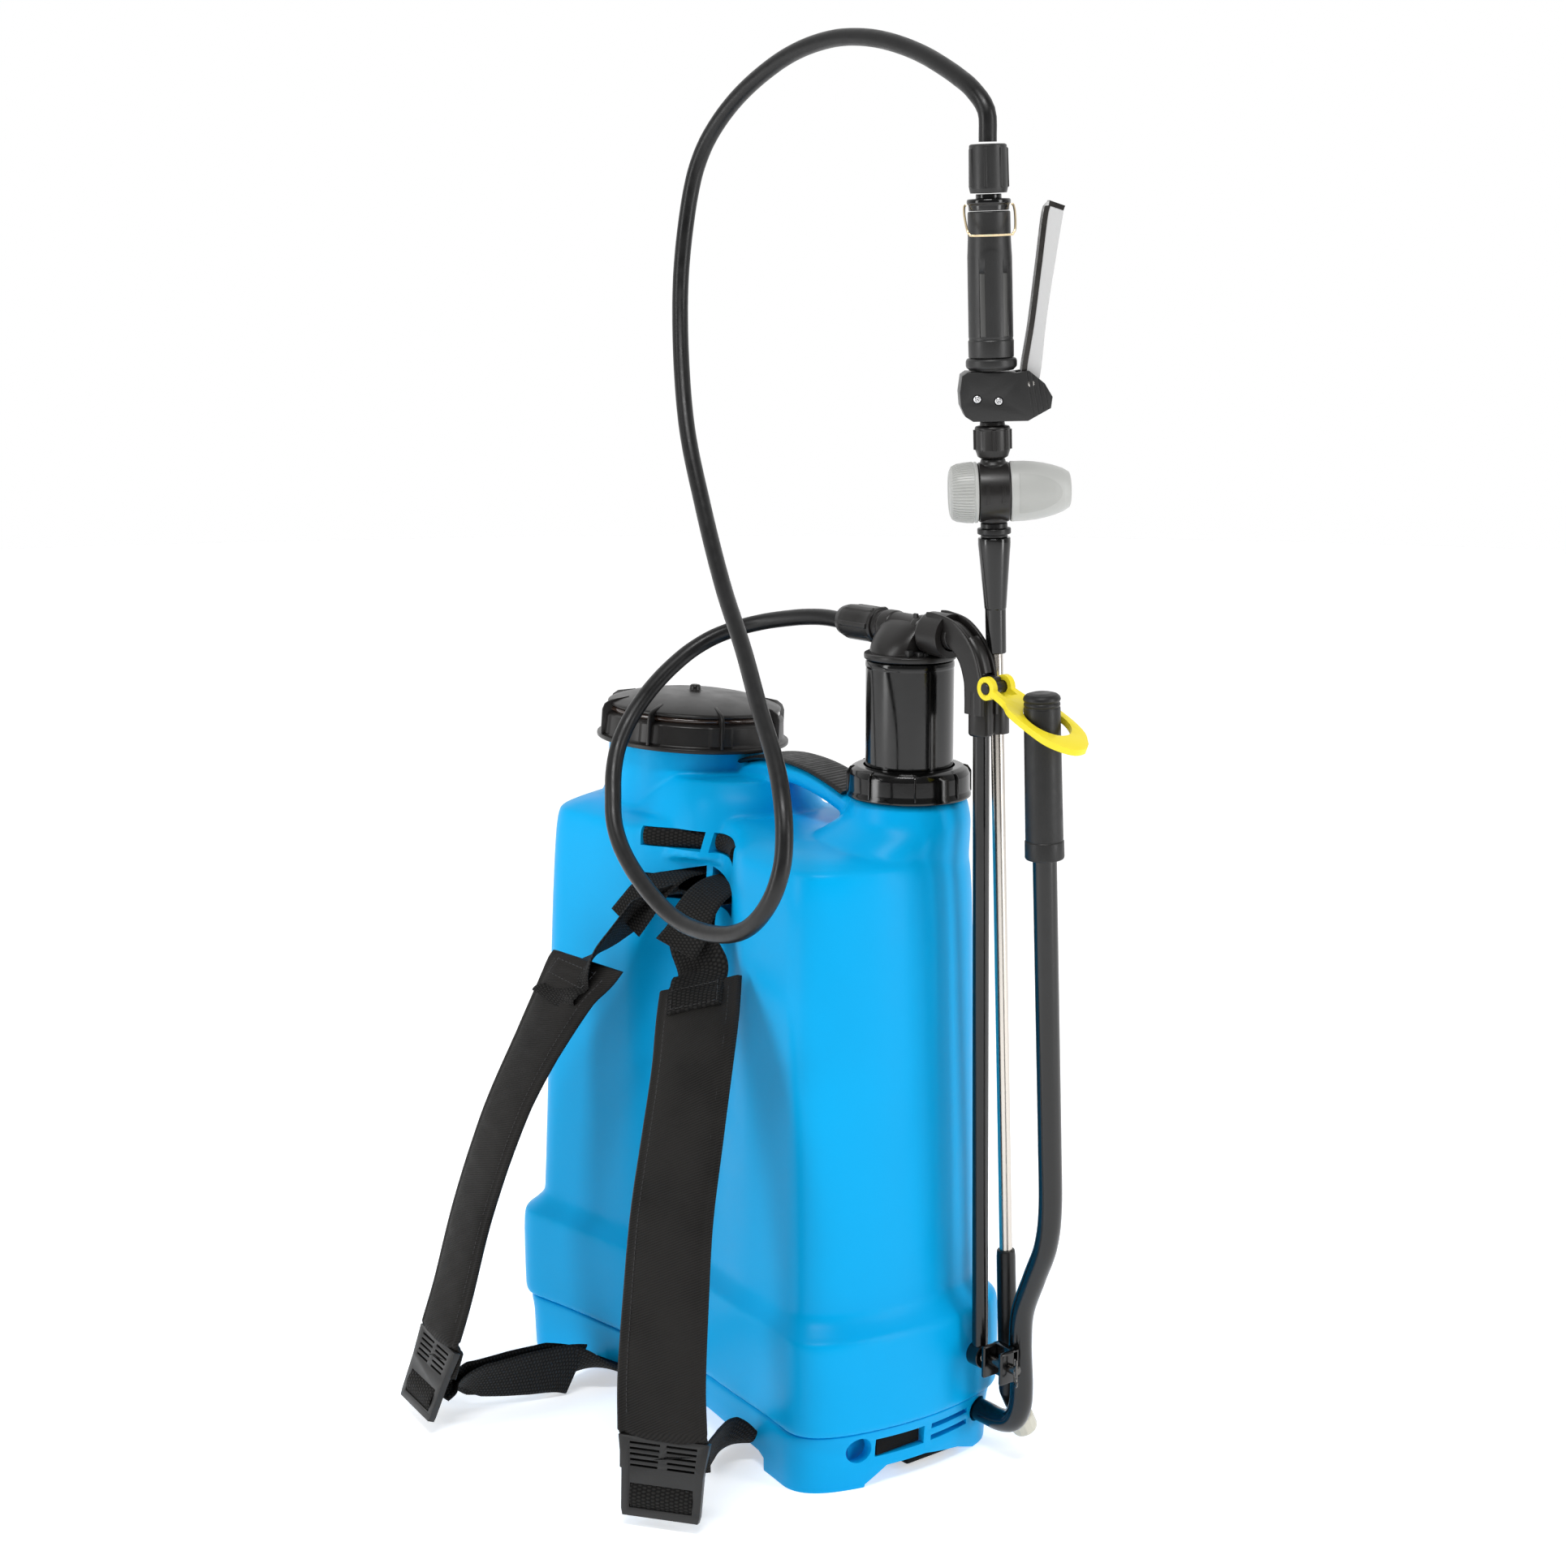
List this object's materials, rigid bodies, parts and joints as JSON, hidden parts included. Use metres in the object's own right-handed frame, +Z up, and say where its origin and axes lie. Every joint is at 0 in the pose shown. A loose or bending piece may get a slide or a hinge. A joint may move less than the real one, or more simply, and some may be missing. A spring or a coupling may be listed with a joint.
{
  "type": "backpack sprayer",
  "caption": "Knapsack sprayer with a moulded tank, side pump lever, pressure chamber, hose, spray gun with lance, and padded shoulder straps.",
  "frame": {"origin": "on the floor under the middle of the outer box, hose left out", "axes": "+Z up, wearer's side faces -Y, pump lever at +X"},
  "size_m": [0.4541, 0.3077, 0.8929],
  "materials": {
    "blue": "blow-moulded polyethylene, satin",
    "black": "moulded black plastic",
    "gloss": "glossy black plastic",
    "paint": "gloss black paint on steel",
    "rubber": "matt black rubber",
    "web": "woven webbing and padded cloth",
    "steel": "stainless tube",
    "chrome": "bright plated",
    "alloy": "bright",
    "brass": "wire",
    "yellow": "yellow plastic",
    "grey": "light grey plastic",
    "filter": "off-white plastic"
  },
  "bodies": {
    "sprayer": {"tank": "blue", "base_skirt": "blue", "handle_grip": "rubber", "fill_strainer": "filter", "pump_ring_nut": "gloss", "pump_guide": "black", "suction_filter": "filter", "strap_web_top_left": "web", "strap_pad_left": "web", "strap_buckle_left": "black", "strap_web_low_left": "web", "strap_web_top_right": "web", "strap_pad_right": "web", "strap_buckle_right": "black", "strap_web_low_right": "web", "hose_lower": "rubber", "hose_upper": "rubber"},
    "lid_seal": {"lid_gasket": "rubber"},
    "lid": {"fill_lid": "black", "lid_vent": "black"},
    "pump": {"pressure_chamber": "gloss", "pump_head": "black", "hose_nut_pump": "black", "piston_cup": "rubber"},
    "arm": {"pump_arm": "black", "connecting_rod": "paint", "rod_pivot_bush": "steel"},
    "lever": {"lever_tube": "paint", "lever_grip": "rubber", "crank_bracket": "paint", "crank_pin": "steel", "pin_clip": "chrome", "lever_retainer": "black"},
    "clip": {"retaining_clip": "yellow"},
    "lance": {"lance_tube": "steel", "lance_cone": "black", "regulator_ring": "black", "regulator_body": "black", "regulator_capsule": "grey", "outlet_nut": "black", "trigger_housing": "black", "housing_screw_1": "chrome", "housing_screw_2": "chrome", "trigger_pivot": "steel", "grip_flange": "black", "spray_grip": "black", "grip_collar": "gloss", "hose_nut_gun": "black", "lance_sleeve": "black", "nozzle_body": "chrome"},
    "trigger": {"trigger_lever": "alloy"},
    "bail": {"lock_bail": "brass"},
    "knob": {"regulator_knob": "grey"},
    "nozzle": {"nozzle_cap": "grey"}
  },
  "joints": [
    {"name": "lid_lift", "type": "slide", "parent": "sprayer", "child": "lid_seal", "axis": [0.027, 0.0509, 0.9983], "range_m": [0, 0.015]},
    {"name": "lid_turn", "type": "hinge", "parent": "lid_seal", "child": "lid", "pos_m": [-0.1161, 0.0689, 0.4376], "axis": [0.027, 0.0509, 0.9983], "range_deg": [0, 270]},
    {"name": "lever_swing", "type": "hinge", "parent": "sprayer", "child": "lever", "pos_m": [0.1319, 0.1169, 0.026], "axis": [1, 0, 0], "range_deg": [0, 80]},
    {"name": "pump_stroke", "type": "slide", "parent": "sprayer", "child": "pump", "axis": [0, 0, -1], "range_m": [0, 0.0588]},
    {"name": "arm_swing", "type": "hinge", "parent": "pump", "child": "arm", "pos_m": [0.1429, 0.0912, 0.53], "axis": [1, 0, 0], "range_deg": [-4.25, 0]},
    {"name": "clip_flip", "type": "hinge", "parent": "arm", "child": "clip", "pos_m": [0.1575, 0.09024, 0.50398], "axis": [0, -0.9999, -0.0171], "range_deg": [0, 101]},
    {"name": "lance_unclip", "type": "slide", "parent": "sprayer", "child": "lance", "axis": [0, 1, 0], "range_m": [0, 0.05]},
    {"name": "trigger_squeeze", "type": "hinge", "parent": "lance", "child": "trigger", "pos_m": [0.15666, 0.11362, 0.68257], "axis": [0.7801, -0.625, -0.0272], "range_deg": [0, 7], "stiffness_Nm_per_rad": 2, "springref_deg": -6.88},
    {"name": "bail_swing", "type": "hinge", "parent": "lance", "child": "bail", "pos_m": [0.1429, 0.09202, 0.78423], "axis": [-0.6256, -0.7794, -0.0339], "range_deg": [0, 95]},
    {"name": "regulator_turn", "type": "hinge", "parent": "lance", "child": "knob", "pos_m": [0.1429, 0.09923, 0.61838], "axis": [0.6256, 0.7794, 0.0339], "range_deg": [-120, 120]},
    {"name": "nozzle_turn", "type": "hinge", "parent": "lance", "child": "nozzle", "pos_m": [0.1429, 0.1242, 0.04443], "axis": [0, 0.454, -0.891], "range_deg": [-90, 270]}
  ],
  "couplings": [
    {"joint": "pump_stroke", "follows": "lever_swing", "m_per_rad": 0.04204},
    {"joint": "arm_swing", "follows": "lever_swing", "ratio": -0.0525},
    {"joint": "clip_flip", "follows": "lever_swing", "ratio": 1.25}
  ]
}
